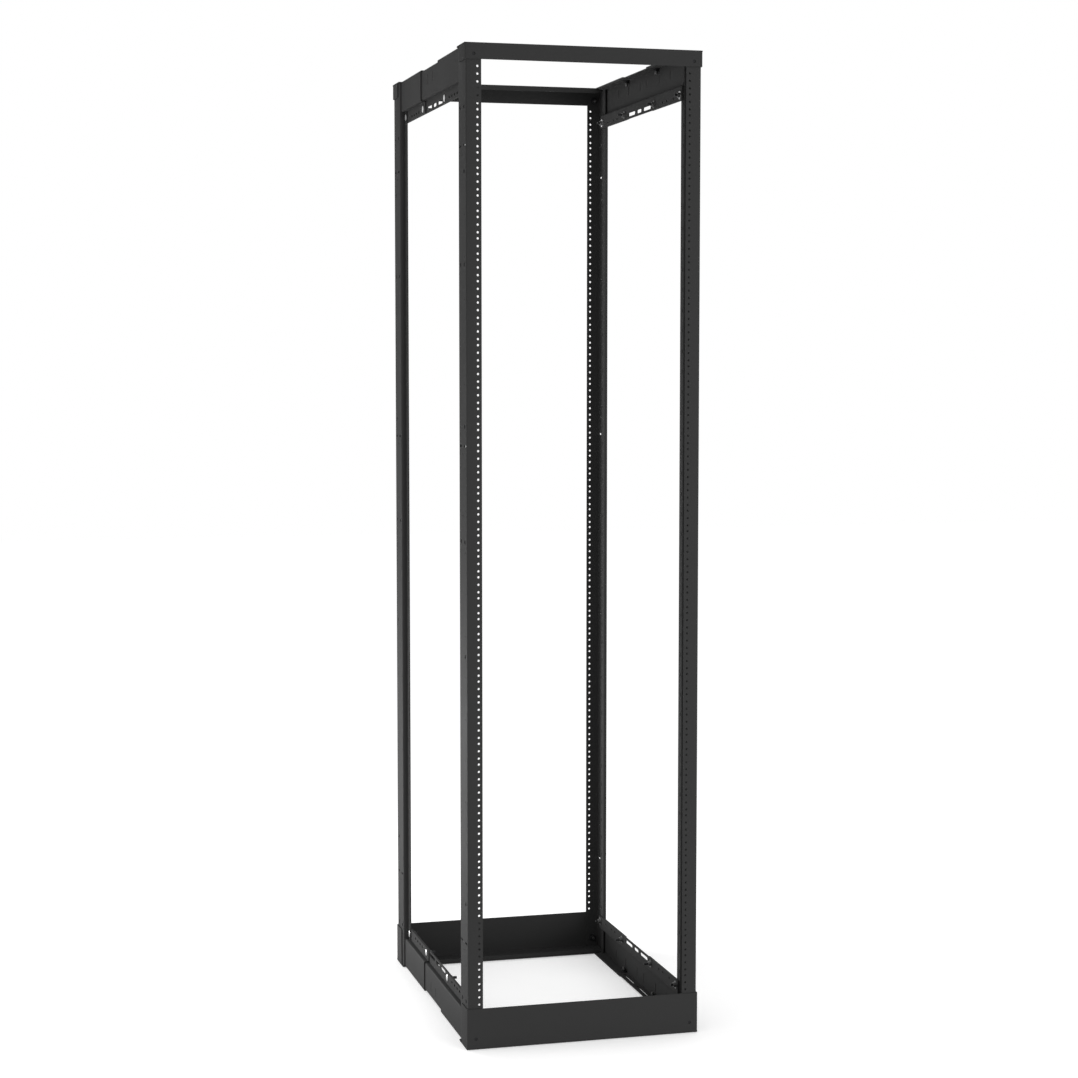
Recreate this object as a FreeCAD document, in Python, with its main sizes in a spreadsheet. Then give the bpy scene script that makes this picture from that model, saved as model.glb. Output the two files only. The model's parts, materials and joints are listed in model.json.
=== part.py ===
import FreeCAD, Part
import os
import Sketcher

# Four post open frame rack.
#
# Frame: X across the rack, Y from front (-) to rear (+), Z up, with the origin on the floor in the
# middle of the footprint. Every piece is one folded sheet: four posts that carry the equipment
# holes, a beam across the top and the foot of each pair of posts, and on each side, at the top and
# at the foot, two channels joined by a long splice that lies nested in both.

DOC = FreeCAD.newDocument("Rack")

SIDES = {"left": -1, "right": 1}
ENDS = {"front": -1, "rear": 1}

# ---------------------------------------------------------------- driving dimensions, millimetres

SIZES = {
    # equipment rails
    "rack_units": 45,
    "unit_pitch": 44.45,
    "first_hole": 6.35,
    "hole_step": 15.875,
    "column_pitch": 465.1,
    "rail_bore": 5,
    "rail_depth": 762,
    "hole_edge": 7.95,
    # posts
    "post_sheet": 2.5,
    "rail_flange": 32.9,
    "web_depth": 71,
    "return_width": 14.2,
    "post_lip": 20,
    # beams
    "beam_sheet": 2.5,
    "base_beam_height": 88.9,
    "base_gap": 2.2,
    "top_beam_height": 34.5,
    "top_gap": 7.75,
    "beam_flange": 76,
    "beam_lip": 12,
    "beam_return": 55,
    # side channels and splices
    "channel_sheet": 2.5,
    "channel_inset": 3.5,
    "channel_flange": 28,
    "channel_web": 70.5,
    "channel_lip": 26.3,
    "end_gap": 5,
    "notch_gap": 1,
    "channel_length": 214,
    # slots along the splices' lips
    "slot_height": 8.5,
    "slot_edge": 5,
    "slot_gap": 13,
    "middle_slot": 35,
    "long_slot": 57,
    # anchor holes in the base beams
    "anchor_bore": 13,
    "anchor_pitch": 360,
    "anchor_inset": 20.5,
}

# Rail holes are round where a mount is stated and have this many sides elsewhere.
HOLE_SIDES = 4

SHEET = DOC.addObject("Spreadsheet::Sheet", "Dims")
for row, (alias, size) in enumerate(SIZES.items(), start=1):
    SHEET.set(f"A{row}", alias)
    SHEET.set(f"B{row}", str(size))
    SHEET.setAlias(f"B{row}", alias)
DOC.recompute()

# ---------------------------------------------------------------- places worked out from the sizes

RAIL_EDGE_X = "(Dims.column_pitch / 2 - Dims.hole_edge)"
OUTER_X = f"({RAIL_EDGE_X} + Dims.rail_flange)"
RAIL_Y = "(Dims.rail_depth / 2)"
RETURN_Y = f"({RAIL_Y} - Dims.web_depth)"
LIP_X = f"({OUTER_X} - Dims.return_width)"
UNITS_Z = "(Dims.base_beam_height + Dims.base_gap)"
LAST_UNIT_Z = f"({UNITS_Z} + (Dims.rack_units - 1) * Dims.unit_pitch)"
HEIGHT = f"({LAST_UNIT_Z} + Dims.unit_pitch + Dims.top_gap + Dims.top_beam_height)"
CHANNEL_X = f"({OUTER_X} - Dims.channel_inset)"
SECTION_END_Y = f"({RETURN_Y} - Dims.post_lip - Dims.notch_gap)"
CHANNEL_IN_Y = f"({RETURN_Y} - Dims.end_gap - Dims.channel_length)"
WEB_TAB = "Dims.post_lip + Dims.notch_gap - Dims.end_gap"


def number(expression):
    """Value of an expression of the sheet."""
    found = SHEET.evalExpression(expression)
    return float(getattr(found, "Value", found))


# ---------------------------------------------------------------- making features


def make_body(label):
    body = DOC.addObject("PartDesign::Body", "Body")
    body.Label = label
    return body


def make_sketch(body, plane, lift="0"):
    """Empty sketch on one of the body's own origin planes, lifted along the plane's normal."""
    base = next(item for item in body.Origin.OriginFeatures if item.Role == plane)
    sketch = body.newObject("Sketcher::SketchObject", "Sketch")
    sketch.AttachmentSupport = (base, "")
    sketch.MapMode = "FlatFace"
    sketch.setExpression("AttachmentOffset.Base.z", lift)
    return sketch


def tie(sketch, kind, geometry, point, expression):
    """Dimension from the sketch's origin to a point, bound to an expression."""
    index = sketch.addConstraint(Sketcher.Constraint(kind, -1, 1, geometry, point, number(expression)))
    sketch.setExpression(f"Constraints[{index}]", expression)


def draw_outline(sketch, corners):
    """Closed outline of level and upright lines through corners given as pairs of expressions."""
    places = [FreeCAD.Vector(number(across), number(up), 0) for across, up in corners]
    first = sketch.GeometryCount
    count = len(corners)
    for index in range(count):
        sketch.addGeometry(Part.LineSegment(places[index], places[(index + 1) % count]), False)
    for index in range(count):
        line = first + index
        following = (index + 1) % count
        sketch.addConstraint(Sketcher.Constraint("Coincident", line, 2, first + following, 1))
        if corners[index][0] == corners[following][0]:
            sketch.addConstraint(Sketcher.Constraint("Vertical", line))
            tie(sketch, "DistanceX", line, 1, corners[index][0])
        else:
            sketch.addConstraint(Sketcher.Constraint("Horizontal", line))
            tie(sketch, "DistanceY", line, 1, corners[index][1])


def draw_box(sketch, left, right, low, high):
    draw_outline(sketch, [(left, low), (right, low), (right, high), (left, high)])


def draw_circle(sketch, across, up, bore):
    centre = FreeCAD.Vector(number(across), number(up), 0)
    circle = sketch.addGeometry(Part.Circle(centre, FreeCAD.Vector(0, 0, 1), number(bore) / 2), False)
    index = sketch.addConstraint(Sketcher.Constraint("Diameter", circle, number(bore)))
    sketch.setExpression(f"Constraints[{index}]", bore)
    tie(sketch, "DistanceX", circle, 3, across)
    tie(sketch, "DistanceY", circle, 3, up)


def draw_polygon(sketch, across, up, bore, sides):
    """Hole with even sides that just clears a shank as wide as the bore."""
    first = sketch.GeometryCount
    corners = []
    for index in range(sides):
        turn = (index + 0.5) * 360 / sides
        reach = f"{bore} / 2 / cos({180 / sides})"
        corners.append((f"{across} + {reach} * cos({turn})", f"{up} + {reach} * sin({turn})"))
    places = [FreeCAD.Vector(number(along), number(above), 0) for along, above in corners]
    for index in range(sides):
        sketch.addGeometry(Part.LineSegment(places[index], places[(index + 1) % sides]), False)
    for index, (along, above) in enumerate(corners):
        following = first + (index + 1) % sides
        sketch.addConstraint(Sketcher.Constraint("Coincident", first + index, 2, following, 1))
        tie(sketch, "DistanceX", first + index, 1, along)
        tie(sketch, "DistanceY", first + index, 1, above)


def pad(body, sketch, length, middle=False):
    feature = body.newObject("PartDesign::Pad", "Pad")
    feature.Profile = sketch
    feature.setExpression("Length", length)
    feature.Midplane = middle
    return feature


def cut_through(body, sketch):
    """Pocket through the whole body, both ways from the sketch."""
    feature = body.newObject("PartDesign::Pocket", "Pocket")
    feature.Profile = sketch
    feature.Type = "ThroughAll"
    feature.Midplane = True
    return feature


# ---------------------------------------------------------------- posts


def hole_heights(unit):
    """Heights of the three holes of a unit, from the height of its lower edge."""
    return [f"{unit} + Dims.first_hole + {step} * Dims.hole_step" for step in range(3)]


def make_post(label, side, end, bolted_units):
    """Rail flange with three holes a unit, web, return flange and a lip that runs on inward.
    The first and last holes of a bolted unit are round."""
    column = f"{side} * Dims.column_pitch / 2"
    outer = f"{side} * {OUTER_X}"
    outer_inside = f"{side} * ({OUTER_X} - Dims.post_sheet)"
    rail_edge = f"{side} * {RAIL_EDGE_X}"
    lip = f"{side} * {LIP_X}"
    lip_outside = f"{side} * ({LIP_X} + Dims.post_sheet)"
    rail = f"{end} * {RAIL_Y}"
    rail_inside = f"{end} * ({RAIL_Y} - Dims.post_sheet)"
    back = f"{end} * {RETURN_Y}"
    back_inside = f"{end} * ({RETURN_Y} + Dims.post_sheet)"
    lip_end = f"{end} * ({RETURN_Y} - Dims.post_lip)"

    body = make_body(label)
    profile = make_sketch(body, "XY_Plane", "Dims.beam_sheet")
    draw_outline(profile, [
        (rail_edge, rail), (outer, rail), (outer, back), (lip_outside, back), (lip_outside, lip_end),
        (lip, lip_end), (lip, back_inside), (outer_inside, back_inside), (outer_inside, rail_inside),
        (rail_edge, rail_inside),
    ])
    pad(body, profile, f"{HEIGHT} - 2 * Dims.beam_sheet")

    end_units = make_sketch(body, "XZ_Plane")
    for unit in (UNITS_Z, LAST_UNIT_Z):
        low, middle, high = hole_heights(unit)
        draw_polygon(end_units, column, middle, "Dims.rail_bore", HOLE_SIDES)
        for height in (low, high):
            if unit in bolted_units:
                draw_circle(end_units, column, height, "Dims.rail_bore")
            else:
                draw_polygon(end_units, column, height, "Dims.rail_bore", HOLE_SIDES)
    cut_through(body, end_units)

    second_unit = make_sketch(body, "XZ_Plane")
    for height in hole_heights(f"{UNITS_Z} + Dims.unit_pitch"):
        draw_polygon(second_unit, column, height, "Dims.rail_bore", HOLE_SIDES)
    rows = body.newObject("PartDesign::LinearPattern", "Rows")
    rows.Originals = [cut_through(body, second_unit)]
    upright = next(item for item in body.Origin.OriginFeatures if item.Role == "Z_Axis")
    rows.Direction = (upright, [""])
    rows.setExpression("Occurrences", "Dims.rack_units - 2")
    rows.setExpression("Length", "(Dims.rack_units - 3) * Dims.unit_pitch")
    body.Tip = rows
    return body


# ---------------------------------------------------------------- beams


def make_beam(label, end, wrap_low, wrap_height, flange_low, lip_low, anchored):
    """Face and returns that wrap three sides of a pair of posts, a flange over or under their ends
    and a lip along the flange's inner edge. An anchored beam is bolted to the floor."""
    out_x = f"({OUTER_X} + Dims.beam_sheet)"
    out_y = f"({RAIL_Y} + Dims.beam_sheet)"
    face = f"{end} * {out_y}"
    face_inside = f"{end} * {RAIL_Y}"
    return_end = f"{end} * ({out_y} - Dims.beam_return)"
    flange_end = f"{end} * ({out_y} - Dims.beam_flange)"
    lip_face = f"{end} * ({out_y} - Dims.beam_flange + Dims.beam_sheet)"

    body = make_body(label)
    wrap = make_sketch(body, "XY_Plane", wrap_low)
    draw_outline(wrap, [
        (f"-{out_x}", face), (out_x, face), (out_x, return_end), (OUTER_X, return_end),
        (OUTER_X, face_inside), (f"-{OUTER_X}", face_inside), (f"-{OUTER_X}", return_end),
        (f"-{out_x}", return_end),
    ])
    pad(body, wrap, wrap_height)

    flange = make_sketch(body, "XY_Plane", flange_low)
    draw_box(flange, f"-{out_x}", out_x, face, flange_end)
    pad(body, flange, "Dims.beam_sheet")

    lip = make_sketch(body, "XY_Plane", lip_low)
    draw_box(lip, f"-{RAIL_EDGE_X}", RAIL_EDGE_X, lip_face, flange_end)
    body.Tip = pad(body, lip, "Dims.beam_lip")

    if anchored:
        anchors = make_sketch(body, "XY_Plane")
        anchor_y = f"{end} * ({out_y} - Dims.beam_flange + Dims.anchor_inset)"
        for side in SIDES.values():
            draw_circle(anchors, f"{side} * Dims.anchor_pitch / 2", anchor_y, "Dims.anchor_bore")
        body.Tip = cut_through(body, anchors)
    return body


# ---------------------------------------------------------------- side channels and splices


def channel_corners(side, level, nested):
    """Section of a channel: flange, web, shelf and lip. The level turns a height above the foot
    into a height in the rack, and a nested section lies one sheet further in."""
    inset = f"{nested} * Dims.channel_sheet"
    flange_edge = f"{side} * ({CHANNEL_X} - Dims.channel_flange)"
    web = f"{side} * ({CHANNEL_X} - {inset})"
    web_inside = f"{side} * ({CHANNEL_X} - {inset} - Dims.channel_sheet)"
    lip = f"{side} * ({LIP_X} - {inset})"
    lip_inside = f"{side} * ({LIP_X} - {inset} - Dims.channel_sheet)"
    foot = level(inset)
    foot_inside = level(f"{inset} + Dims.channel_sheet")
    shelf = level(f"Dims.channel_web - {inset}")
    shelf_inside = level(f"Dims.channel_web - {inset} - Dims.channel_sheet")
    top = level("Dims.channel_web + Dims.channel_lip")
    return [
        (flange_edge, foot), (web, foot), (web, shelf), (lip, shelf), (lip, top),
        (lip_inside, top), (lip_inside, shelf_inside), (web_inside, shelf_inside),
        (web_inside, foot_inside), (flange_edge, foot_inside),
    ]


def at_foot(height):
    return f"({height})"


def at_top(height):
    return f"({HEIGHT} - ({height}))"


def add_tab(body, end, box, reach):
    """Flat tab that carries one leg of a channel's section on past the post's lip."""
    outline = make_sketch(body, "XZ_Plane", f"{-end} * {SECTION_END_Y}")
    draw_box(outline, *box)
    tab = pad(body, outline, reach)
    tab.Reversed = end > 0
    body.Tip = tab


def add_tabs(body, side, end, level, nested):
    """Web and lip tabs of a channel, or of a splice that lies one sheet further in."""
    inner = f"{nested + 1} * Dims.channel_sheet"
    outer = f"{nested} * Dims.channel_sheet"
    web = f"{side} * ({CHANNEL_X} - {inner})", f"{side} * ({CHANNEL_X} - {outer})"
    add_tab(body, end, (*web, level(outer), level(f"Dims.channel_web - {outer}")), WEB_TAB)
    lip = f"{side} * ({LIP_X} - {inner})", f"{side} * ({LIP_X} - {outer})"
    shelf = level(f"Dims.channel_web - {inner}")
    add_tab(body, end, (*lip, shelf, level("Dims.channel_web + Dims.channel_lip")), "Dims.post_lip")


def make_channel(label, side, end, level):
    """Channel from a post towards the middle. Its flange, web and lip run on past its shelf, which
    stops short of the post's lip."""
    body = make_body(label)
    profile = make_sketch(body, "XZ_Plane", f"{-end} * {CHANNEL_IN_Y}")
    draw_outline(profile, channel_corners(side, level, 0))
    section = pad(body, profile, f"{SECTION_END_Y} - {CHANNEL_IN_Y}")
    section.Reversed = end > 0
    flange = f"{side} * ({CHANNEL_X} - Dims.channel_flange)", f"{side} * {CHANNEL_X}"
    add_tab(body, end, (*flange, level("0"), level("Dims.channel_sheet")), WEB_TAB)
    add_tabs(body, side, end, level, 0)
    return body


def make_splice(label, side, level):
    """Inner length that lies nested in the two channels and joins them, with slots along its lip
    in which their bolts can slide."""
    body = make_body(label)
    profile = make_sketch(body, "XZ_Plane")
    draw_outline(profile, channel_corners(side, level, 1))
    pad(body, profile, f"2 * {SECTION_END_Y}", middle=True)
    for end in ENDS.values():
        add_tabs(body, side, end, level, 1)

    slots = make_sketch(body, "YZ_Plane")
    lip_end = "Dims.channel_web + Dims.channel_lip - Dims.slot_edge"
    edges = level(lip_end), level(f"{lip_end} - Dims.slot_height")
    start = "(Dims.middle_slot / 2 + Dims.slot_gap)"
    draw_box(slots, "-Dims.middle_slot / 2", "Dims.middle_slot / 2", *edges)
    for end in ENDS.values():
        draw_box(slots, f"{end} * {start}", f"{end} * ({start} + Dims.long_slot)", *edges)
    body.Tip = cut_through(body, slots)
    return body


# ---------------------------------------------------------------- the rack

LEVELS = {"bottom": at_foot, "top": at_top}
BOLTED_UNITS = {"front": (UNITS_Z, LAST_UNIT_Z), "rear": (UNITS_Z,)}

PIECES = []
for end_name, end in ENDS.items():
    for side_name, side in SIDES.items():
        PIECES.append(make_post(f"{end_name}_{side_name}_post", side, end, BOLTED_UNITS[end_name]))
    PIECES.append(make_beam(f"{end_name}_base_beam", end, "0", "Dims.base_beam_height", "0", "0",
                            anchored=True))
    PIECES.append(make_beam(f"{end_name}_top_beam", end, f"{HEIGHT} - Dims.top_beam_height",
                            "Dims.top_beam_height", f"{HEIGHT} - Dims.beam_sheet",
                            f"{HEIGHT} - Dims.beam_lip", anchored=False))

for level_name, level in LEVELS.items():
    for side_name, side in SIDES.items():
        PIECES.append(make_splice(f"{level_name}_{side_name}_splice", side, level))
        for end_name, end in ENDS.items():
            PIECES.append(make_channel(f"{level_name}_{side_name}_{end_name}_channel", side, end, level))

DOC.recompute()

# ---------------------------------------------------------------- checks and export

for item in DOC.Objects:
    if "Invalid" in item.State or "Error" in item.State:
        raise RuntimeError(f"{item.Label} failed: {item.State}")
for body in PIECES:
    if body.Shape.isNull() or not body.Shape.isValid() or len(body.Shape.Solids) != 1:
        raise RuntimeError(f"{body.Label} is not one sound solid")

os.makedirs("parts", exist_ok=True)
for body in PIECES:
    body.Shape.exportStep(f"parts/{body.Label}.step")
    box = body.Shape.BoundBox
    print(f"{body.Label}: {body.Shape.Volume:.0f} mm3, "
          f"X {box.XMin:.1f}..{box.XMax:.1f}, Y {box.YMin:.1f}..{box.YMax:.1f}, "
          f"Z {box.ZMin:.1f}..{box.ZMax:.1f}")
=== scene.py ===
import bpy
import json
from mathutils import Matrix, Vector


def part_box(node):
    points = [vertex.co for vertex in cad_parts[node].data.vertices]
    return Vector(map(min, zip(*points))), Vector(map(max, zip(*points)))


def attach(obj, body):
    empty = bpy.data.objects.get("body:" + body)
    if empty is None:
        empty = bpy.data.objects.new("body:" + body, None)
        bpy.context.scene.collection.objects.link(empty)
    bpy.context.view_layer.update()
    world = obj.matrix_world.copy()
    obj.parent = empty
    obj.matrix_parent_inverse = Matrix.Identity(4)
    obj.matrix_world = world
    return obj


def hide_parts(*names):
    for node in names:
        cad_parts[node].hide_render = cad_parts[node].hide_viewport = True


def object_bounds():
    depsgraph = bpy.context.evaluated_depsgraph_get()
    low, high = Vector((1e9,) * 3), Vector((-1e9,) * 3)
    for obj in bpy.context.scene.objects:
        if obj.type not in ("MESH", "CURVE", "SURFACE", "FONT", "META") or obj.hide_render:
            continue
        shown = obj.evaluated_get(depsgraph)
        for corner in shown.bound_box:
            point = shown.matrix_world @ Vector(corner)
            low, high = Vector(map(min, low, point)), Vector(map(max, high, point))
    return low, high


bl_info = {
    "name": "Four Post Open Frame Rack",
    "version": (1, 0, 0),
    "blender": (4, 5, 0),
    "location": "3D Viewport > Sidebar > Rack",
    "description": "Folded sheets, fasteners, finishes and stage for a four post open frame rack",
    "category": "Object",
}

import json
import math

import bpy
import numpy as np
from mathutils import Vector
from mathutils.geometry import delaunay_2d_cdt

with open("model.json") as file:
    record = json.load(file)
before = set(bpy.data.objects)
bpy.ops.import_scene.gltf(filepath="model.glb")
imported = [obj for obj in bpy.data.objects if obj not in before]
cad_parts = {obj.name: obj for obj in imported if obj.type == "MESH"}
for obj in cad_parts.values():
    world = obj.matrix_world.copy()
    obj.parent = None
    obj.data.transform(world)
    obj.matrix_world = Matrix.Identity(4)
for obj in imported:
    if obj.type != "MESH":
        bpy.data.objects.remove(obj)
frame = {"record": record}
CAD_BOX = [list(corner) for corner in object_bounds()]

# Sides and ends with the direction they lie in, and levels with the way into the rack from them.
SIDES = {"left": -1, "right": 1}
ENDS = {"front": -1, "rear": 1}
LEVELS = {"bottom": 1, "top": -1}
CORNERS = [(side, end) for side in SIDES.values() for end in ENDS.values()]

# Body that every piece rides on.
BODY = "root"


# ---------------------------------------------------------------- settings

# Kinds of setting, each with its unit or subtype. A rotation's default is given in degrees.


def length(name, default, description):
    return bpy.props.FloatProperty(name=name, default=default, description=description, min=0,
                                   subtype="DISTANCE", unit="LENGTH", precision=5)


def amount(name, default, description, high=1000.0, **more):
    return bpy.props.FloatProperty(name=name, default=default, description=description, min=0,
                                   max=high, **more)


def share(name, default, description):
    return amount(name, default, description, high=1.0, subtype="FACTOR")


def rotation(name, default, description):
    return bpy.props.FloatProperty(name=name, default=math.radians(default),
                                   description=description, subtype="ANGLE", unit="ROTATION")


def whole(name, default, description, low):
    return bpy.props.IntProperty(name=name, default=default, description=description, min=low,
                                 subtype="UNSIGNED")


def colour(name, default, description):
    return bpy.props.FloatVectorProperty(name=name, default=default, description=description,
                                         subtype="COLOR", size=3, min=0, max=1)


def position(name, default, description):
    return bpy.props.FloatVectorProperty(name=name, default=default, description=description,
                                         subtype="TRANSLATION", unit="LENGTH", size=3)


class RackSheetSettings(bpy.types.PropertyGroup):
    """Sizes of the folded sheets, in metres."""

    bend: length("Bend radius", 0.0006, "Inside radius of every fold")
    bend_steps: whole("Bend steps", 4, "Facets round a fold", 2)
    rim_steps: whole("Rim steps", 24, "Facets round a hole", 8)

    post_sheet: length("Post sheet", 0.0025, "Thickness of the posts")
    web_depth: length("Web depth", 0.071, "Depth of a post's web")
    return_width: length("Return width", 0.0142, "Width of a post's return flange")
    unit: length("Rack unit", 0.04445, "Pitch of the rack units")
    hole_step: length("Hole step", 0.015875, "Step between the holes of a unit")
    rail_bore: length("Rail bore", 0.005, "Bore of the equipment holes")
    lip_slot: length("Post lip slot", 0.009, "Length of the slots along a post's lip")

    beam_sheet: length("Beam sheet", 0.0025, "Thickness of the beams")
    beam_return: length("Beam return", 0.055, "Depth of a beam's returns")
    beam_lip: length("Beam lip", 0.012, "Height of a beam's lip")
    anchor_bore: length("Anchor bore", 0.013, "Bore of the anchor holes")
    anchor_pitch: length("Anchor pitch", 0.360, "Distance between the anchor holes across the rack")
    anchor_inset: length("Anchor inset", 0.0205, "Anchor hole from the beam's inner edge")

    channel_sheet: length("Channel sheet", 0.0025, "Thickness of the channels and splices")
    channel_web: length("Channel web", 0.0705, "Height of a channel's web")
    shelf_stop: length("Shelf stop", 0.020, "Shelf from the end of the lip")
    web_stop: length("Web stop", 0.0006, "Web from the end of the lip")
    slot_height: length("Slot height", 0.0085, "Height of the lip slots")
    slot_edge: length("Slot edge", 0.005, "Lip slots from the edge of the lip")
    slot_gap: length("Slot gap", 0.013, "Distance between the lip slots")
    middle_slot: length("Middle slot", 0.035, "Length of the middle lip slot")
    long_slot: length("Long slot", 0.057, "Length of the outer lip slots")


class RackFastenerSettings(bpy.types.PropertyGroup):
    """Sizes and places of the bolts, washers and nuts, in metres."""

    turns: whole("Turns", 20, "Facets round a bolt", 8)
    shank: length("Shank", 0.0062, "Width of a bolt's shank")
    tail: length("Tail", 0.006, "Length of the shank past the nut")
    splice_tail: length("Splice bolt tail", 0.010, "Length of a splice bolt's shank past the nut")
    washer: length("Washer", 0.018, "Width of a washer")
    washer_sheet: length("Washer thickness", 0.0016, "Thickness of a washer")
    nut: length("Nut", 0.0115, "Width of a nut across its corners")
    nut_height: length("Nut height", 0.005, "Height of a nut")
    seat: length("Seat", 0.0130, "Width of the seat under a bolt's head")
    seat_height: length("Seat height", 0.0004, "Height of the seat under a bolt's head")
    head: length("Head", 0.0155, "Width of a bolt's round head")
    head_height: length("Head height", 0.0011, "Height of a bolt's round head")
    recess: length("Recess", 0.0015, "Depth of a headless bolt's end in its hole")

    lip_height: length("Lip bolt height", 0.085, "Lip bolts above the foot and below the top")
    splice_place: length("Splice bolt place", 0.113, "Splice bolts from the middle of the depth")
    post_place: length("Post bolt place", 0.297, "Post bolts from the middle of the depth")
    flange_place: length("Flange bolt place", 0.243, "Flange bolts from the middle of the width")
    beam_place: length("Beam bolt place", 0.241, "Beam bolts from the middle of the width")
    beam_height: length("Beam bolt height", 0.0237, "Beam bolts above the foot and below the top")


class RackFinishSettings(bpy.types.PropertyGroup):
    """Colours and finishes."""

    coat: colour("Coat", (0.032, 0.032, 0.032), "Powder coat")
    coat_roughness: share("Coat roughness", 0.55, "Roughness of the powder coat")
    coat_patches: amount("Coat patches", 9.0, "Patches a metre in the coat's roughness")
    coat_spread: share("Coat spread", 0.12, "Spread of the coat's roughness over its patches")
    coat_shine: share("Coat shine", 0.01, "Specular level of the powder coat")
    grain: amount("Grain", 900.0, "Grains a metre in the powder coat", high=5000)
    grain_height: length("Grain height", 0.00002, "Height of the grains")
    zinc: colour("Zinc", (0.52, 0.52, 0.52), "Zinc plate")
    zinc_roughness: share("Zinc roughness", 0.35, "Roughness of the zinc plate")
    oxide: colour("Oxide", (0.018, 0.018, 0.019), "Black oxide")
    oxide_roughness: share("Oxide roughness", 0.5, "Roughness of the black oxide")
    oxide_shine: share("Oxide shine", 0.1, "Specular level of the black oxide")
    # Darker metal: dull steel on the tips of headless bolts, and painted shade on the nuts of the
    # lip bolts and on all their washers but those of the top post bolts, in place of their zinc.
    steel: colour("Steel", (0.11, 0.11, 0.11), "Dull steel")
    steel_roughness: share("Steel roughness", 0.5, "Roughness of the dull steel")


class RackStageSettings(bpy.types.PropertyGroup):
    """Camera, lights and floor."""

    camera: position("Camera", (-1.3275, -4.9928, 1.470), "Place of the camera")
    yaw: rotation("Yaw", 14.9, "Camera's turn to the right")
    pitch: rotation("Pitch", -4.47, "Camera's tilt upward")
    lens: amount("Lens", 75.21, "Focal length", unit="CAMERA")
    floor: colour("Floor", (0.80, 0.80, 0.80), "Floor")
    floor_reach: length("Floor reach", 14.0, "Half width of the floor")
    floor_drop: length("Floor drop", 0.001, "Floor below the rack's foot")
    floor_glow: amount("Floor glow", 0.34, "Light added to the floor as the camera sees it")
    ambient: share("Ambient", 0.85, "Strength of the light from all round")
    side_light: amount("Side light", 16.0, "Power of the low light at the left", unit="POWER")
    rear_light: amount("Rear light", 38.0, "Power of the low light behind the left", unit="POWER")
    front_light: amount("Front light", 80.0, "Power of the light at the front right", unit="POWER")


# ---------------------------------------------------------------- shader nodes


class Socket:
    """Output of a shader node that can be added to and multiplied by a number or another one."""

    def __init__(self, tree, output):
        self.tree = tree
        self.output = output

    def beside(self, name):
        """Another output of the same node."""
        return Socket(self.tree, self.output.node.outputs[name])

    def join(self, operation, first, second):
        return add_node(self.tree, "ShaderNodeMath", {0: first, 1: second},
                        settings={"operation": operation})

    def __add__(self, other):
        return self.join("ADD", self, other)

    def __radd__(self, other):
        return self.join("ADD", other, self)

    def __mul__(self, other):
        return self.join("MULTIPLY", self, other)

    def __rmul__(self, other):
        return self.join("MULTIPLY", other, self)

    def most(self, other):
        """The larger of the two."""
        return self.join("MAXIMUM", self, other)


def add_node(tree, kind, inputs, settings=None, output=0):
    """New node, as a wrapped socket of one of its outputs. Its settings are made first. Each input,
    by name or number, is then linked to a wrapped socket or set to a value."""
    node = tree.nodes.new(kind)
    for name, setting in (settings or {}).items():
        setattr(node, name, setting)
    for key, value in inputs.items():
        if isinstance(value, Socket):
            tree.links.new(value.output, node.inputs[key])
        else:
            node.inputs[key].default_value = value
    return Socket(tree, node.outputs[output]) if node.outputs else None


def new_material(name, inputs):
    """Material of one Principled node. An input is a value, or a function that adds its nodes."""
    material = bpy.data.materials.new(name)
    material.use_nodes = True
    tree = material.node_tree
    tree.nodes.clear()
    made = {key: value(tree) if callable(value) else value for key, value in inputs.items()}
    surface = add_node(tree, "ShaderNodeBsdfPrincipled", made)
    add_node(tree, "ShaderNodeOutputMaterial", {"Surface": surface})
    return material


def coat_bump(tree):
    """Fine even grain of a powder coat."""
    finish = bpy.context.scene.rack_finish
    place = add_node(tree, "ShaderNodeTexCoord", {}, output="Object")
    grain = add_node(tree, "ShaderNodeTexNoise",
                     {"Vector": place, "Scale": finish.grain, "Detail": 2.0})
    return add_node(tree, "ShaderNodeBump",
                    {"Height": grain, "Distance": finish.grain_height, "Strength": 1.0})


def coat_roughness(tree):
    """Roughness that wanders over a piece: noise times the spread, centred on the setting."""
    finish = bpy.context.scene.rack_finish
    place = add_node(tree, "ShaderNodeTexCoord", {}, output="Object")
    wander = add_node(tree, "ShaderNodeTexNoise",
                      {"Vector": place, "Scale": finish.coat_patches, "Detail": 3.0})
    return wander * finish.coat_spread + (finish.coat_roughness - finish.coat_spread / 2)


def powder_coat(name):
    finish = bpy.context.scene.rack_finish
    return new_material(name, {
        "Base Color": (*finish.coat, 1), "Roughness": coat_roughness,
        "Specular IOR Level": finish.coat_shine, "Normal": coat_bump,
    })


def zinc_plate(name):
    finish = bpy.context.scene.rack_finish
    return new_material(name, {
        "Base Color": (*finish.zinc, 1), "Metallic": 1.0, "Roughness": finish.zinc_roughness,
    })


# Darker metal for the tips of headless bolts, and painted shade in place of zinc on the lip bolts'
# nuts and on most of their washers.
def dull_steel(name):
    finish = bpy.context.scene.rack_finish
    return new_material(name, {
        "Base Color": (*finish.steel, 1), "Metallic": 1.0, "Roughness": finish.steel_roughness,
    })


def black_oxide(name):
    finish = bpy.context.scene.rack_finish
    return new_material(name, {
        "Base Color": (*finish.oxide, 1), "Roughness": finish.oxide_roughness,
        "Specular IOR Level": finish.oxide_shine,
    })


def finish_material(make):
    """The finish that a function makes, made once under the function's name."""
    name = make.__name__
    return bpy.data.materials.get(name) or make(name)


# ---------------------------------------------------------------- meshes

# Edges that turn by more than this are sharp.
SHARP_ANGLE = math.radians(30)


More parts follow.
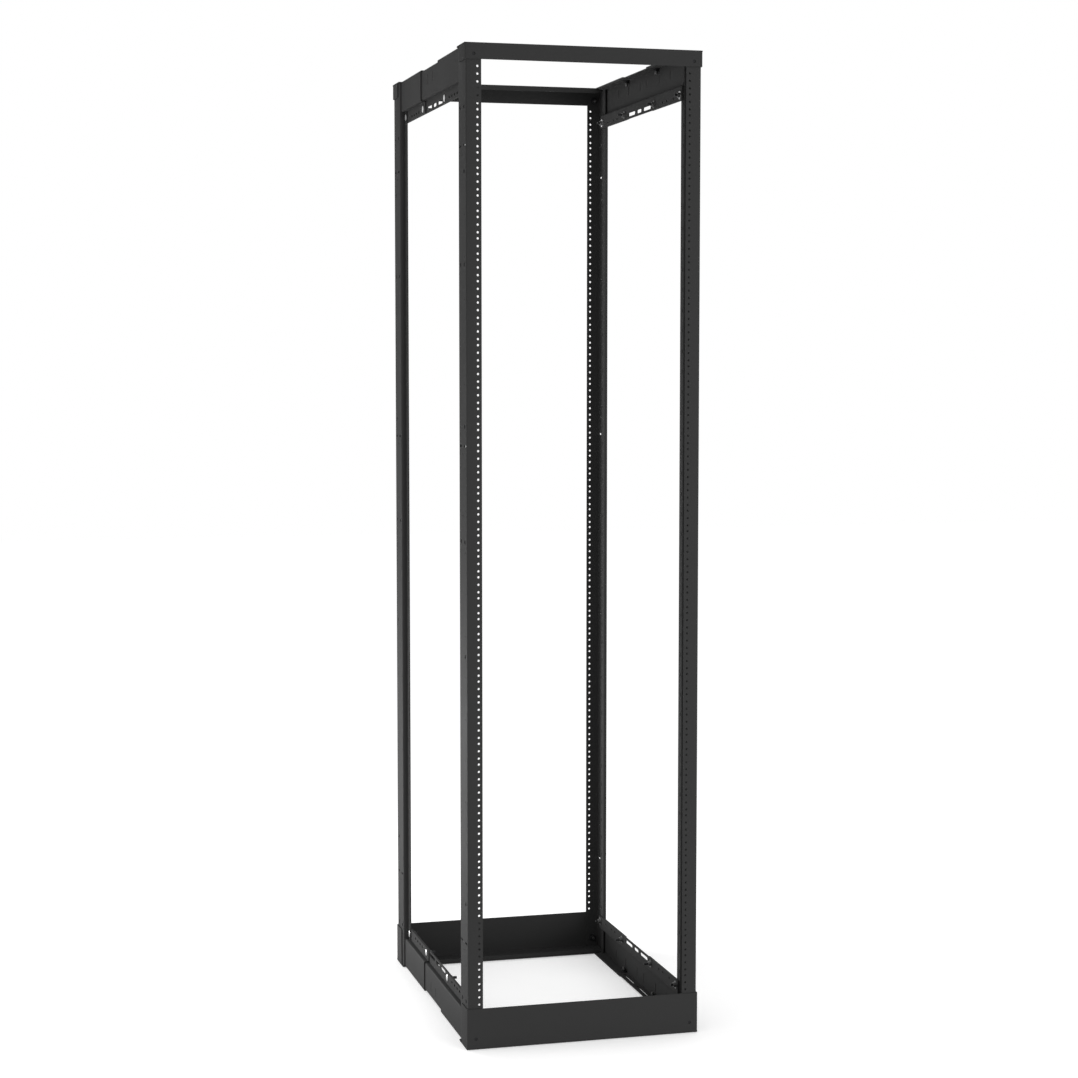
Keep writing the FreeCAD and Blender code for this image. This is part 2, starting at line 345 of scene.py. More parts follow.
def make_object(name, points, groups, materials):
    """Mesh object from an array of points and groups of faces. A group is an array with one row of
    corners a face, and an array that says which of its faces are smooth."""
    mesh = bpy.data.meshes.new(name)
    corners = np.concatenate([faces.ravel() for faces, _ in groups])
    totals = np.concatenate([np.full(len(faces), faces.shape[1]) for faces, _ in groups])
    smooth = np.concatenate([np.broadcast_to(flags, len(faces)) for faces, flags in groups])
    mesh.vertices.add(len(points))
    mesh.vertices.foreach_set("co", np.asarray(points, np.float32).ravel())
    mesh.loops.add(len(corners))
    mesh.loops.foreach_set("vertex_index", corners.astype(np.int32))
    mesh.polygons.add(len(totals))
    mesh.polygons.foreach_set("loop_start", (np.cumsum(totals) - totals).astype(np.int32))
    mesh.polygons.foreach_set("use_smooth", smooth.astype(bool))
    mesh.update(calc_edges=True)
    mesh.validate()
    mesh.set_sharp_from_angle(angle=SHARP_ANGLE)
    for material in materials:
        mesh.materials.append(material)
    piece = bpy.data.objects.new(name, mesh)
    bpy.context.scene.collection.objects.link(piece)
    return piece


def weave(odd, even):
    """Rows of two arrays in turn, starting and ending with the first."""
    woven = np.empty((len(odd) + len(even), *np.shape(odd)[1:]))
    woven[0::2] = odd
    woven[1::2] = even
    return woven


class Fold:
    """Middle surface of a sheet that is folded square along parallel lines.

    Its section runs through corner points, on straight legs joined by quarter circles. A place has
    u, the length along the section, v, the length along the folds, and w, the height off the
    surface: on a leg the place is the leg's start plus u ahead, and on a quarter circle it is the
    start plus radius times sine ahead plus radius times one less cosine towards the next leg."""

    def __init__(self, corners, radius, run):
        corners = np.asarray(corners, float)
        legs = np.diff(corners, axis=0)
        spans = np.linalg.norm(legs, axis=1)
        ahead = legs / spans[:, None]
        count = len(legs)
        trim = radius * (np.arange(count) > 0)
        tail = radius * (np.arange(count) < count - 1)
        self.radius = radius
        self.run = np.asarray(run, float)
        self.origin = weave(corners[:-1] + trim[:, None] * ahead,
                            corners[1:-1] - radius * ahead[:-1])
        self.ahead = weave(ahead, ahead[:-1])
        self.after = weave(ahead, ahead[1:])
        sizes = weave(spans - trim - tail, np.full(count - 1, radius * math.pi / 2))
        self.start = np.r_[0, np.cumsum(sizes)]

    def piece(self, u):
        """Number of the leg or quarter circle at u. Quarter circles have odd numbers."""
        return np.clip(np.searchsorted(self.start, u, side="right") - 1, 0, len(self.start) - 2)

    def place(self, u, v, w):
        """Points of an array of places."""
        piece = self.piece(u)
        on = u - self.start[piece]
        curved = piece % 2 == 1
        turn = np.where(curved, on / self.radius, 0)
        forward = np.where(curved, self.radius * np.sin(turn), on)[:, None]
        aside = np.where(curved, self.radius * (1 - np.cos(turn)), 0)[:, None]
        ahead, after = self.ahead[piece], self.after[piece]
        heading = np.cos(turn)[:, None] * ahead + np.sin(turn)[:, None] * after
        up = np.cross(heading, self.run)
        return (self.origin[piece] + forward * ahead + aside * after + v[:, None] * self.run
                + w[:, None] * up)

    def on_leg(self, leg, distance):
        """u of a place on a leg, from its distance past the leg's first corner."""
        return self.start[2 * leg] + distance - self.radius * (leg > 0)


def slot_reach(places, holes):
    """How far places lie from the middle line of the nearest of some round-ended slots, as a share
    of that slot's end radius."""
    ends = holes[:, 2:].min(1)
    off = np.abs(places[:, None] - holes[None, :, :2]) - (holes[:, 2:] - ends[:, None])[None]
    return (np.linalg.norm(np.maximum(off, 0), axis=2) / ends).min(1)


def rings(first, count, size):
    """Edges that close each of several loops of points numbered on from the first."""
    index = first + np.arange(count * size).reshape(count, size)
    return np.stack([index, np.roll(index, -1, axis=1)], axis=2).reshape(-1, 2)


# Points of a flat that are nearer than this are merged, and triangles of less area are dropped.
MERGE_DISTANCE = 1e-7
LEAST_AREA = 1e-12
# Shares of a slot's end radius: a triangle whose middle lies nearer to the slot's middle line than
# the first is cut away, and a free edge whose middle lies nearer than the second is on the rim.
IN_SLOT = 0.999
ON_RIM = 1.01


def flat_triangles(fold, outline, holes):
    """Points and triangles of a flat, divided between its outline, the slots' rims and the lines
    where its folds start, turn and end. A rim is the slot's middle plus its straight reach by the
    sign of cosine and sine plus its end radius times cosine and sine."""
    sizes = bpy.context.scene.rack_sheet
    angle = (np.arange(sizes.rim_steps) + 0.5) * 2 * math.pi / sizes.rim_steps
    circle = np.stack([np.cos(angle), np.sin(angle)], axis=1)
    ends = holes[:, 2:].min(1)[:, None, None]
    rims = holes[:, None, :2] + np.sign(circle) * (holes[:, None, 2:] - ends) + ends * circle

    lines = np.linspace(fold.start[1:-1:2], fold.start[2:-1:2], sizes.bend_steps + 1).ravel()
    line_ends = np.concatenate([np.stack([lines, np.full(len(lines), end)], axis=1)
                                for end in (outline[:, 1].min(), outline[:, 1].max())])
    points = np.concatenate([outline, rims.reshape(-1, 2), line_ends])
    line_starts = len(outline) + rims.shape[0] * rims.shape[1] + np.arange(len(lines))
    edges = np.concatenate([
        rings(0, 1, len(outline)),
        rings(len(outline), len(holes), sizes.rim_steps),
        np.stack([line_starts, line_starts + len(lines)], axis=1),
    ])
    flat, _, triangles, *_ = delaunay_2d_cdt(points.tolist(), edges.tolist(), [], 1,
                                             MERGE_DISTANCE, False)
    flat = np.array(flat, float)
    triangles = np.array(triangles)
    if len(holes):
        triangles = triangles[slot_reach(flat[triangles].mean(1), holes) > IN_SLOT]
    across = flat[triangles[:, 1:]] - flat[triangles[:, :1]]
    area = across[:, 0, 0] * across[:, 1, 1] - across[:, 0, 1] * across[:, 1, 0]
    triangles = np.where(area[:, None] < 0, triangles[:, ::-1], triangles)
    used, triangles = np.unique(triangles[np.abs(area) > LEAST_AREA], return_inverse=True)
    return flat[used], triangles.reshape(-1, 3)


def cut_sheet(name, fold, outline, holes, sheet):
    """Folded sheet cut from a flat outline with round-ended slots through it. A slot is a row of
    middle u, middle v, half length along u and half length along v. Both faces are the flat placed
    half a sheet either side of the middle surface, and walls join them round every free edge."""
    outline = np.asarray(outline, float)
    holes = np.asarray(holes, float).reshape(-1, 4)
    flat, triangles = flat_triangles(fold, outline, holes)
    count = len(flat)
    sides = triangles[:, [0, 1, 1, 2, 2, 0]].reshape(-1, 2)
    free = sides[~np.isin(sides[:, 0] * count + sides[:, 1], sides[:, 1] * count + sides[:, 0])]
    walls = np.stack([free[:, 0], free[:, 0] + count, free[:, 1] + count, free[:, 1]], axis=1)
    folded = fold.piece(flat[triangles].mean(1)[:, 0]) % 2 == 1
    round_wall = np.zeros(len(free), bool)
    if len(holes):
        round_wall = slot_reach(flat[free].mean(1), holes) < ON_RIM
    u, v = flat.T
    places = np.concatenate([fold.place(u, v, np.full(count, sheet / 2)),
                             fold.place(u, v, np.full(count, -sheet / 2))])
    groups = [(triangles, folded), (triangles[:, ::-1] + count, folded), (walls, round_wall)]
    return make_object(name, places, groups, [finish_material(powder_coat)])


def settle(piece, node):
    """The piece rides with the rack in the node's stead."""
    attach(piece, BODY)
    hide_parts(node)


def revolve(profile, turns):
    """Closed surface of revolution about the third axis: a point is radius times cosine and sine of
    the turn, and the height. The profile's radius is zero at both ends."""
    profile = np.asarray(profile, float)
    angle = np.arange(turns) * 2 * math.pi / turns
    rows = len(profile)
    points = np.stack([
        profile[:, :1] * np.cos(angle), profile[:, :1] * np.sin(angle),
        np.broadcast_to(profile[:, 1:], (rows, turns)),
    ], axis=2).reshape(-1, 3)
    row, turn = np.meshgrid(np.arange(rows - 1), np.arange(turns), indexing="ij")
    after = (turn + 1) % turns
    faces = np.stack([row * turns + turn, row * turns + after, (row + 1) * turns + after,
                      (row + 1) * turns + turn], axis=2).reshape(-1, 4)
    return points, faces


# ---------------------------------------------------------------- placing


def level_height(level, height):
    """Height in the rack of a height above the foot, or below the top."""
    top = CAD_BOX[1][2]
    return height if level == "bottom" else top - height


def node_reach(node):
    """The lesser and the greater distance of a node's box corners from the origin, by axis."""
    return np.sort(np.abs(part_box(node)), axis=0)


def post_reach():
    """Distances of the posts' inner edges and outer faces from the middle of the rack."""
    return node_reach("front_left_post")[:, 0]


def mount(name):
    """The record's mount of that name."""
    return next(each for each in frame["record"]["mounts"] if each["name"] == name)


def rail_rows():
    """Heights of all equipment holes: three to each unit, from the mount of the lowest unit to the
    mount of the highest. A mount's height is that of the unit's middle hole."""
    sizes = bpy.context.scene.rack_sheet
    low = mount("front_rail_bottom_unit")["pos_m"][2] - sizes.hole_step
    high = mount("front_rail_top_unit")["pos_m"][2] - sizes.hole_step
    units = round((high - low) / sizes.unit) + 1
    return (low + sizes.unit * np.arange(units)[:, None] + sizes.hole_step * np.arange(3)).ravel()


def rail_column():
    """Distance of the columns of equipment holes from the middle of the rack: half the mount's
    spacing across."""
    return mount("front_rail_bottom_unit")["dims"]["spacing_x_mm"] / 1000 / 2


# Heights of a row of tiny holes, one to every second unit.
TINY_ROW = tuple(0.180 + 0.0889 * np.arange(21))
# Holes of a post's web: distance behind the rail face, heights, half width and half height.
WEB_HOLES = (
    (0.019, (0.10095, 0.31335, 0.84675, 1.09145, 1.33575, 1.67595, 1.86915, 2.00245),
     0.0045, 0.0045),
    (0.054, (0.10095, 1.09145, 1.67595, 2.00245), 0.0045, 0.0045),
    (0.0156, (0.22845, 1.29445, 1.92345), 0.0085, 0.0025),
    (0.055, (0.22845, 1.29445, 1.92345), 0.0085, 0.0025),
    (0.037, (0.20945, 1.14745, 1.27645, 1.90545), 0.0021, 0.0021),
    (0.016, TINY_ROW, 0.0014, 0.0014),
    (0.064, TINY_ROW, 0.0014, 0.0014),
)

# Slots along a post's lip: distance past the lip's fold corner, height above the middle hole of
# each unit, and half width.
LIP_SLOT_INSET = 0.0055
LIP_SLOT_RISE = 0.0035
LIP_SLOT_HALF = 0.0017

# Small slots in a channel's lip: distances from the middle of the depth, half height and half
# length.
SMALL_SLOT_PLACES = 0.160 + 0.026 * np.arange(4)
SMALL_SLOT_HALVES = (0.003, 0.005)

# Ovals in a splice's lip: distances from the middle of the depth, half height and half length.
OVAL_PLACES = (-0.250, -0.203, -0.174, 0.174, 0.203, 0.250)
OVAL_HALVES = (0.0022, 0.0035)

# Slits in a splice's web: distances from the middle of the depth, half height and half width, and
# the distance of their middle from the foot or the top.
SLIT_PLACES = (-0.195, -0.117, -0.026, 0.026, 0.117, 0.195)
SLIT_HALVES = (0.011, 0.0013)
SLIT_HEIGHT = 0.027

# Slots in a bottom splice's flange: distance from its inner edge, and for each its middle, half
# length along the depth and half width.
FLANGE_SLOT_INSET = 0.011
FLANGE_SLOTS = ((-0.062, 0.034, 0.002), (-0.019, 0.0035, 0.0035), (0.044, 0.034, 0.002),
                (0.087, 0.0035, 0.0035))

# Sheets between a side's outer face and the outer face of a channel or a splice.
CHANNEL_NEST = 0
SPLICE_NEST = 1

# Gap between a beam's flange and the edges of its returns, and gap round a bolt in its hole.
RETURN_GAP = 0.0002
BOLT_GAP = 0.0004


class RACK_OT_posts(bpy.types.Operator):
    """Four posts with round equipment holes, web holes and slots along the lip"""

    bl_idname = "rack.posts"
    bl_label = "Posts"

    def execute(self, context):
        sizes = context.scene.rack_sheet
        half = sizes.post_sheet / 2
        for end_name, end in ENDS.items():
            for side_name, side in SIDES.items():
                node = f"{end_name}_{side_name}_post"
                (edge, lip_end, foot), (outer, rail, top) = node_reach(node)
                back = rail - sizes.web_depth + half
                lip = outer - sizes.return_width + half
                corners = np.array([(edge, rail - half, 0), (outer - half, rail - half, 0),
                                    (outer - half, back, 0), (lip, back, 0), (lip, lip_end, 0)])
                fold = Fold(corners * (side, end, 1), sizes.bend + half, (0, 0, 1))
                width = fold.start[-1]
                outline = [(0, foot), (width, foot), (width, top), (0, top)]
                holes = self.rail_holes(fold, edge) + self.web_holes(fold) + self.lip_slots(fold)
                settle(cut_sheet(f"{node}_sheet", fold, outline, holes, sizes.post_sheet), node)
        return {"FINISHED"}

    def rail_holes(self, fold, edge):
        sizes = bpy.context.scene.rack_sheet
        radius = sizes.rail_bore / 2
        column = fold.on_leg(0, rail_column() - edge)
        return [(column, height, radius, radius) for height in rail_rows()]

    def web_holes(self, fold):
        half = bpy.context.scene.rack_sheet.post_sheet / 2
        return [(fold.on_leg(1, depth - half), height, wide, tall)
                for depth, heights, wide, tall in WEB_HOLES for height in heights]

    def lip_slots(self, fold):
        """One upright slot a unit along the lip, close to its fold."""
        sizes = bpy.context.scene.rack_sheet
        column = fold.on_leg(3, LIP_SLOT_INSET)
        heights = rail_rows()[1::3] + LIP_SLOT_RISE
        return [(column, height, LIP_SLOT_HALF, sizes.lip_slot / 2) for height in heights]


def channel_fold(level, side, end, nest, node):
    """Section of a channel, or of a splice nested one sheet further in, from its node's box. Its
    legs are the flange, the web, the shelf and the lip."""
    sizes = bpy.context.scene.rack_sheet
    (edge, _, low), (web, _, high) = node_reach(node)
    sheet = sizes.channel_sheet
    inset = nest * sheet
    lip = post_reach()[1] - sizes.return_width - inset - sheet / 2
    foot = inset + sheet / 2
    shelf = sizes.channel_web - inset - sheet / 2
    tall = high - low + inset
    corners = [(edge, foot), (web - sheet / 2, foot), (web - sheet / 2, shelf), (lip, shelf),
               (lip, tall)]
    places = [(side * across, 0, level_height(level, height)) for across, height in corners]
    return Fold(places, sizes.bend + sheet / 2, (0, end, 0))


class RACK_OT_channels(bpy.types.Operator):
    """Eight side channels, notched at the post and with small slots along the lip"""

    bl_idname = "rack.channels"
    bl_label = "Side channels"

    def execute(self, context):
        sizes = context.scene.rack_sheet
        for level in LEVELS:
            for side_name, side in SIDES.items():
                for end_name, end in ENDS.items():
                    node = f"{level}_{side_name}_{end_name}_channel"
                    fold = channel_fold(level, side, end, CHANNEL_NEST, node)
                    (_, inner, _), (_, outer, _) = node_reach(node)
                    shelf_end = outer - sizes.shelf_stop
                    web_end = outer - sizes.web_stop
                    web_top, lip_foot, width = fold.start[[3, 6, -1]]
                    outline = [
                        (0, inner), (width, inner), (width, outer), (lip_foot, outer),
                        (lip_foot, shelf_end), (web_top, shelf_end), (web_top, web_end),
                        (0, web_end),
                    ]
                    middle = width - sizes.slot_edge - sizes.slot_height / 2
                    holes = [(middle, place, *SMALL_SLOT_HALVES) for place in SMALL_SLOT_PLACES]
                    piece = cut_sheet(f"{node}_sheet", fold, outline, holes, sizes.channel_sheet)
                    settle(piece, node)
        return {"FINISHED"}


class RACK_OT_splices(bpy.types.Operator):
    """Four splices with long slots along the lip and the flange"""

    bl_idname = "rack.splices"
    bl_label = "Splices"

    def execute(self, context):
        sizes = context.scene.rack_sheet
        for level in LEVELS:
            for side_name, side in SIDES.items():
                node = f"{level}_{side_name}_splice"
                fold = channel_fold(level, side, 1, SPLICE_NEST, node)
                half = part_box(node)[1][1]
                shelf_end = half - sizes.shelf_stop
                web_end = half - sizes.web_stop
                web_foot, web_top, lip_foot, width = fold.start[[2, 3, 6, -1]]
                quarter = [
                    (0, shelf_end), (web_foot, shelf_end), (web_foot, web_end), (web_top, web_end),
                    (web_top, shelf_end), (lip_foot, shelf_end), (lip_foot, half), (width, half),
                ]
                outline = quarter + [(u, -v) for u, v in reversed(quarter)]
                holes = self.lip_slots(width) + self.slits(fold)
                if level == "bottom":
                    holes += self.flange_slots(fold)
                piece = cut_sheet(f"{node}_sheet", fold, outline, holes, sizes.channel_sheet)
                settle(piece, node)
        return {"FINISHED"}

    def lip_slots(self, width):
        """A middle slot, a longer one either side of it, and small ovals out to the ends."""
        sizes = bpy.context.scene.rack_sheet
        tall = sizes.slot_height / 2
        middle = width - sizes.slot_edge - tall
        outer = (sizes.middle_slot + sizes.long_slot) / 2 + sizes.slot_gap
        slots = [(middle, 0, tall, sizes.middle_slot / 2)]
        slots += [(middle, sign * outer, tall, sizes.long_slot / 2) for sign in (-1, 1)]
        return slots + [(middle, place, *OVAL_HALVES) for place in OVAL_PLACES]

    def slits(self, fold):
        foot = bpy.context.scene.rack_sheet.channel_sheet * (SPLICE_NEST + 0.5)
        middle = fold.on_leg(1, SLIT_HEIGHT - foot)
        return [(middle, place, *SLIT_HALVES) for place in SLIT_PLACES]

    def flange_slots(self, fold):
        middle = fold.on_leg(0, FLANGE_SLOT_INSET)
        return [(middle, place, wide, reach) for place, reach, wide in FLANGE_SLOTS]


class RACK_OT_beams(bpy.types.Operator):
    """Base and top beams: a face with returns, and a flange with a lip"""

    bl_idname = "rack.beams"
    bl_label = "Beams"

    def execute(self, context):
        for end_name, end in ENDS.items():
            for level, kind in (("bottom", "base"), ("top", "top")):
                node = f"{end_name}_{kind}_beam"
                settle(self.face_sheet(node, end, level), node)
                settle(self.flange_sheet(node, end, level), node)
        return {"FINISHED"}

    def face_sheet(self, node, end, level):
        """Upright face with a return at each side. The face starts where the flange's fold ends,
        and the returns stand just clear of the flange."""
        sizes = bpy.context.scene.rack_sheet
        bolts = bpy.context.scene.rack_fastener
        sheet = sizes.beam_sheet
        radius = sizes.bend + sheet / 2
        (_, _, low), (side, outer, high) = node_reach(node)
        out = side - sheet / 2
        face = outer - sheet / 2
        back = outer - sizes.beam_return
        zero = level_height(level, 0)
        corners = [(-out, back), (-out, face), (out, face), (out, back)]
        fold = Fold([(x, end * y, zero) for x, y in corners], radius, (0, 0, LEVELS[level]))
        left, right, width = fold.start[[1, 4, 5]]
        rise = sheet / 2 + radius
        clear = sheet + RETURN_GAP
        tall = high - low
        outline = [(0, clear), (left, clear), (left, rise), (right, rise), (right, clear),
                   (width, clear), (width, tall), (0, tall)]
        hole = bolts.shank / 2 + BOLT_GAP
        holes = [(fold.on_leg(1, out + sign * bolts.beam_place), bolts.beam_height, hole, hole)
                 for sign in (-1, 1)]
        return cut_sheet(f"{node}_face", fold, outline, holes, sheet)

    def flange_sheet(self, node, end, level):
        """Level flange that folds up into the face over the beam's whole width, and into a lip
        between the posts."""
        sizes = bpy.context.scene.rack_sheet
        sheet = sizes.beam_sheet
        radius = sizes.bend + sheet / 2
        (_, inner, _), (side, outer, _) = node_reach(node)
        face = outer - sheet / 2
        corners = [(face, sheet / 2 + radius), (face, sheet / 2), (inner + sheet / 2, sheet / 2),
                   (inner + sheet / 2, sizes.beam_lip)]
        fold = Fold([(0, end * y, level_height(level, z)) for y, z in corners], radius, (1, 0, 0))
        lip_half = post_reach()[0]
        flange_end, lip_end = fold.start[[3, 5]]
        outline = [(0, -side), (flange_end, -side), (flange_end, -lip_half), (lip_end, -lip_half),
                   (lip_end, lip_half), (flange_end, lip_half), (flange_end, side), (0, side)]
        holes = []
        if level == "bottom":
            depth = fold.on_leg(1, face - inner - sizes.anchor_inset)
            bore = sizes.anchor_bore / 2
            holes = [(depth, sign * sizes.anchor_pitch / 2, bore, bore) for sign in (-1, 1)]
        return cut_sheet(f"{node}_flange", fold, outline, holes, sheet)


# ---------------------------------------------------------------- fasteners

# Finish of each part of a fastener, by its place in FINISHES. The washers and nuts of headed bolts
# take the darker steel as painted shade in place of their zinc, and the lit set gives the washers
# back their zinc.
FINISHES = (zinc_plate, black_oxide, dull_steel)
HEADED_SHADED = {"washer": 2, "nut": 2, "shank": 1, "tip": 1, "seat": 1, "head": 0}
HEADED_LIT = {**HEADED_SHADED, "washer": 0}
HEADLESS = {"washer": 1, "nut": 1, "shank": 1, "tip": 2}

# Facets of a nut, and the chamfer of nuts and shanks. A head's chamfer is twice as wide as high.
NUT_SIDES = 6
CHAMFER = 0.0004


def drum(half, low, high):
    """Profile of a plain drum between two heights."""
    return [(0, low), (half, low), (half, high), (0, high)]


def chamfered_drum(half, low, high):
    """Profile of a drum with its upper edge cut off."""
    return [(0, low), (half, low), (half, high - CHAMFER), (half - CHAMFER, high), (0, high)]


def fastener_parts(grip, tail):
    """Parts of one fastener along its own axis, which starts at the outer face of the sheets and
    runs inward: profile of radius and height, and facets round it. The grip is the thickness of the
    sheets, and the tail is how far the shank stands out of the nut."""
    bolt = bpy.context.scene.rack_fastener
    shank_half, head_half = bolt.shank / 2, bolt.head / 2
    washer = grip + bolt.washer_sheet
    nut = washer + bolt.nut_height
    seat = -bolt.seat_height
    out = seat - bolt.head_height
    head = [(0, out), (head_half - CHAMFER * 2, out), (head_half, out + CHAMFER),
            (head_half, seat), (0, seat)]
    return {
        "washer": (drum(bolt.washer / 2, grip, washer), bolt.turns),
        "nut": (chamfered_drum(bolt.nut / 2, washer, nut), NUT_SIDES),
        "shank": (drum(shank_half, bolt.recess, washer), bolt.turns),
        "tip": (chamfered_drum(shank_half, nut - CHAMFER, nut + tail), bolt.turns),
        "seat": (drum(bolt.seat / 2, seat, 0), bolt.turns),
        "head": (head, bolt.turns),
    }


def make_fasteners(name, places, axes, finishes, tail, sheets=2):
    """Like fasteners in one mesh: each part's points times the fastener's three directions, plus
    its place."""
    sheet = bpy.context.scene.rack_sheet.channel_sheet
    parts = fastener_parts(sheets * sheet, tail)
    places, axes = np.array(places, float), np.array(axes, float)
    side = np.roll(axes, 1, axis=1)
    turned = np.stack([side, np.cross(axes, side), axes], axis=1)
    points, groups, numbers, first = [], [], [], 0
    for kind, finish in finishes.items():
        profile, turns = parts[kind]
        part, faces = revolve(profile, turns)
        moved = np.einsum("pi,bij->bpj", part, turned) + places[:, None]
        shift = first + len(part) * np.arange(len(places))
        groups.append(((faces[None] + shift[:, None, None]).reshape(-1, 4), turns > NUT_SIDES))
        numbers.append(np.full(len(faces) * len(places), finish))
        points.append(moved.reshape(-1, 3))
        first += len(part) * len(places)
    materials = [finish_material(finish) for finish in FINISHES]
    piece = make_object(name, np.concatenate(points), groups, materials)
    piece.data.polygons.foreach_set("material_index", np.concatenate(numbers).astype(np.int32))
    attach(piece, BODY)


class RACK_OT_lip_bolts(bpy.types.Operator):
    """Bolts through the lips of the channels, splices and posts"""

    bl_idname = "rack.lip_bolts"
    bl_label = "Lip bolts"

    def execute(self, context):
        bolt = context.scene.rack_fastener
        sizes = context.scene.rack_sheet
        face = post_reach()[1] - sizes.return_width
        kinds = {"splice": (face, bolt.splice_place, 2, bolt.splice_tail),
                 "post": (face + sizes.post_sheet, bolt.post_place, 3, bolt.tail)}
        for kind, (across, depth, sheets, tail) in kinds.items():
            for level in LEVELS:
                # Only the top post bolts keep zinc washers; the other lip bolts' washers, and all
                # their nuts, are painted shade in darker steel.
                finishes = HEADED_LIT if (kind, level) == ("post", "top") else HEADED_SHADED
                height = level_height(level, bolt.lip_height)
                places = [(side * across, end * depth, height) for side, end in CORNERS]
                axes = [(-side, 0, 0) for side, _ in CORNERS]
                make_fasteners(f"{level}_{kind}_lip_bolts", places, axes, finishes, tail, sheets)
        return {"FINISHED"}


class RACK_OT_flange_bolts(bpy.types.Operator):
    """Upright bolts through the flanges of the channels and splices"""

    bl_idname = "rack.flange_bolts"
    bl_label = "Flange bolts"

    def execute(self, context):
        bolt = context.scene.rack_fastener
        places = [(side * bolt.flange_place, end * bolt.splice_place, level_height(level, 0))
                  for level in LEVELS for side, end in CORNERS]
        axes = [(0, 0, inward) for inward in LEVELS.values() for _ in CORNERS]
        make_fasteners("flange_bolts", places, axes, HEADLESS, bolt.tail)
        return {"FINISHED"}


class RACK_OT_beam_bolts(bpy.types.Operator):
    """Bolts through the faces of the beams and the posts' rail flanges"""

    bl_idname = "rack.beam_bolts"
    bl_label = "Beam bolts"

    def execute(self, context):
        bolt = context.scene.rack_fastener
        face = CAD_BOX[1][1]
        places = [(side * bolt.beam_place, end * face, level_height(level, bolt.beam_height))
                  for level in LEVELS for side, end in CORNERS]
        axes = [(0, -end, 0) for _ in LEVELS for _, end in CORNERS]
        make_fasteners("beam_bolts", places, axes, HEADLESS, bolt.tail)
        return {"FINISHED"}


# ---------------------------------------------------------------- stage

# Place of each light, the point it faces and the width of its square.
LIGHTS = {
    "side_light": ((-1.9, 0.0, 0.2), (-0.3, 0.0, 0.2), 0.6),
    "rear_light": ((-1.4, 1.6, 0.3), (0.0, 0.0, 0.05), 0.6),
    "front_light": ((1.5, -3.8, 0.8), (0.0, 0.0, 0.9), 2.0),
}
# Width of the camera's sensor in millimetres.
SENSOR_WIDTH = 36
WHITE = (1, 1, 1, 1)


def camera_glow(tree):
    """Strength that only the camera sees: the floor's glow on camera rays, otherwise nothing."""
    seen = add_node(tree, "ShaderNodeLightPath", {}, output="Is Camera Ray")
    return seen * bpy.context.scene.rack_stage.floor_glow


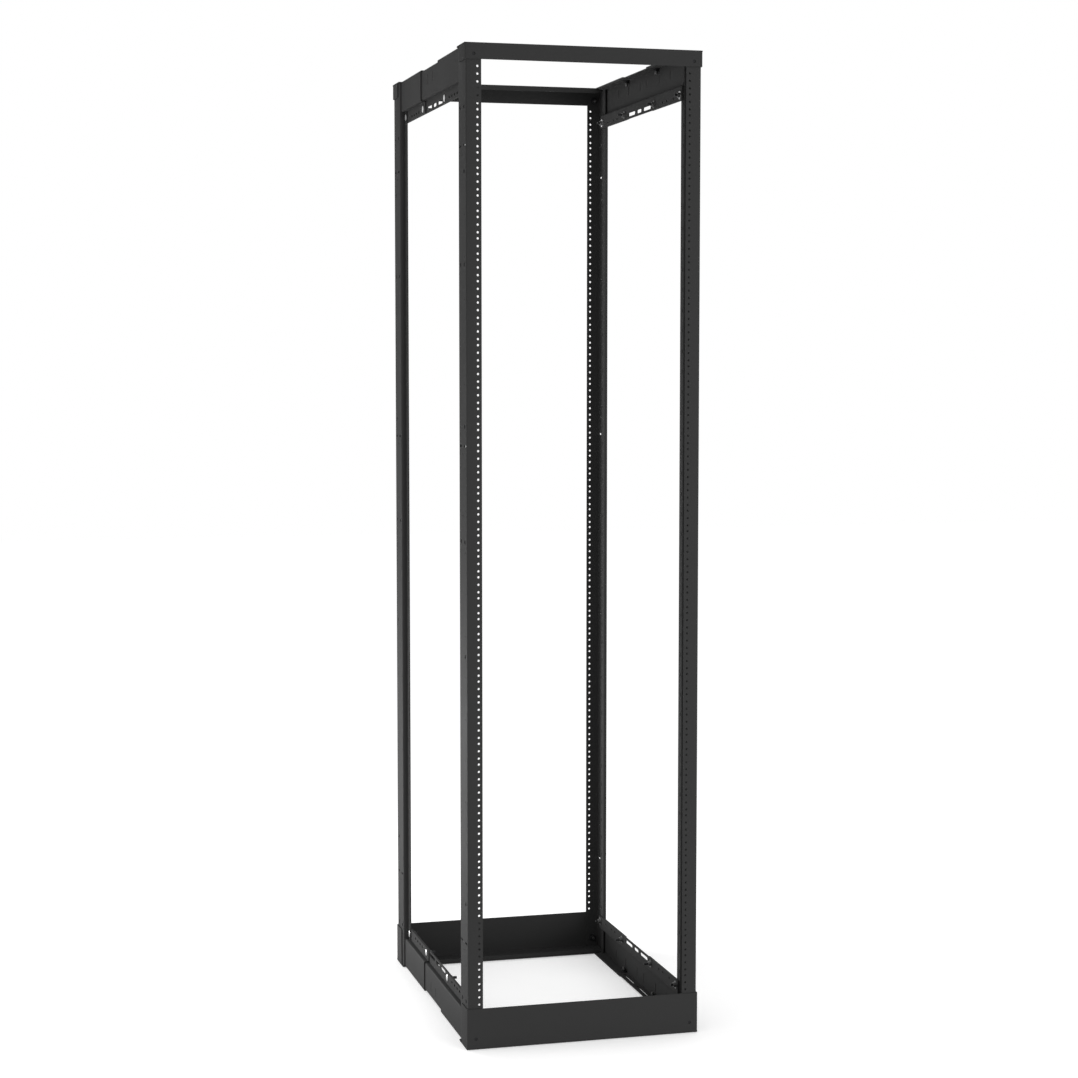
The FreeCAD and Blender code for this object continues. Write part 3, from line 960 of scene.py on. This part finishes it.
class RACK_OT_stage(bpy.types.Operator):
    """Pale floor, soft lights, white surroundings and the camera"""

    bl_idname = "rack.stage"
    bl_label = "Stage"

    def execute(self, context):
        stage = context.scene.rack_stage
        self.make_floor(stage)
        self.make_world(stage)
        for name, (place, target, size) in LIGHTS.items():
            self.make_light(name, place, target, size, getattr(stage, name))
        self.make_camera(stage)
        context.scene.view_settings.view_transform = "Standard"
        return {"FINISHED"}

    def make_floor(self, stage):
        reach, height = stage.floor_reach, -stage.floor_drop
        corners = [(-reach, -reach, height), (reach, -reach, height), (reach, reach, height),
                   (-reach, reach, height)]
        material = new_material("floor", {
            "Base Color": (*stage.floor, 1), "Roughness": 1.0, "Specular IOR Level": 0.0,
            "Emission Color": WHITE, "Emission Strength": camera_glow,
        })
        make_object("floor", corners, [(np.array([[0, 1, 2, 3]]), False)], [material])

    def make_world(self, stage):
        """White where the camera, gloss and glass see it, and dimmer as a light on the rack."""
        world = bpy.data.worlds.new("world")
        world.use_nodes = True
        bpy.context.scene.world = world
        tree = world.node_tree
        tree.nodes.clear()
        camera = add_node(tree, "ShaderNodeLightPath", {}, output="Is Camera Ray")
        shown = camera.most(camera.beside("Is Glossy Ray"))
        shown = shown.most(camera.beside("Is Transmission Ray"))
        strength = shown * (1 - stage.ambient) + stage.ambient
        surface = add_node(tree, "ShaderNodeBackground", {"Color": WHITE, "Strength": strength})
        add_node(tree, "ShaderNodeOutputWorld", {"Surface": surface})

    def make_light(self, name, place, target, size, power):
        """Square light at a place, turned to face a point."""
        light = bpy.data.objects.new(name, bpy.data.lights.new(name, "AREA"))
        light.data.shape = "SQUARE"
        light.data.size = size
        light.data.energy = power
        light.location = place
        facing = (Vector(target) - Vector(place)).to_track_quat("-Z", "Y")
        light.rotation_euler = facing.to_euler()
        bpy.context.scene.collection.objects.link(light)

    def make_camera(self, stage):
        camera = bpy.data.objects.new("camera", bpy.data.cameras.new("camera"))
        camera.data.lens = stage.lens
        camera.data.sensor_width = SENSOR_WIDTH
        camera.location = stage.camera
        camera.rotation_euler = (math.pi / 2 + stage.pitch, 0, -stage.yaw)
        bpy.context.scene.collection.objects.link(camera)
        bpy.context.scene.camera = camera


class RACK_PT_panel(bpy.types.Panel):
    """Buttons that build the rack piece by piece"""

    bl_idname = "RACK_PT_panel"
    bl_label = "Four Post Rack"
    bl_space_type = "VIEW_3D"
    bl_region_type = "UI"
    bl_category = "Rack"

    def draw(self, context):
        for operator in OPERATORS:
            self.layout.operator(operator.bl_idname)


SETTINGS = {
    "rack_sheet": RackSheetSettings,
    "rack_fastener": RackFastenerSettings,
    "rack_finish": RackFinishSettings,
    "rack_stage": RackStageSettings,
}
OPERATORS = (
    RACK_OT_posts, RACK_OT_channels, RACK_OT_splices, RACK_OT_beams, RACK_OT_lip_bolts,
    RACK_OT_flange_bolts, RACK_OT_beam_bolts, RACK_OT_stage,
)
CLASSES = (*OPERATORS, RACK_PT_panel)


def register():
    for name, group in SETTINGS.items():
        bpy.utils.register_class(group)
        setattr(bpy.types.Scene, name, bpy.props.PointerProperty(type=group))
    for kind in CLASSES:
        bpy.utils.register_class(kind)


def unregister():
    for kind in reversed(CLASSES):
        bpy.utils.unregister_class(kind)
    for name, group in SETTINGS.items():
        delattr(bpy.types.Scene, name)
        bpy.utils.unregister_class(group)


def main():
    register()
    for operator in OPERATORS:
        group, name = operator.bl_idname.split(".")
        getattr(getattr(bpy.ops, group), name)()


if __name__ == "__main__":
    main()
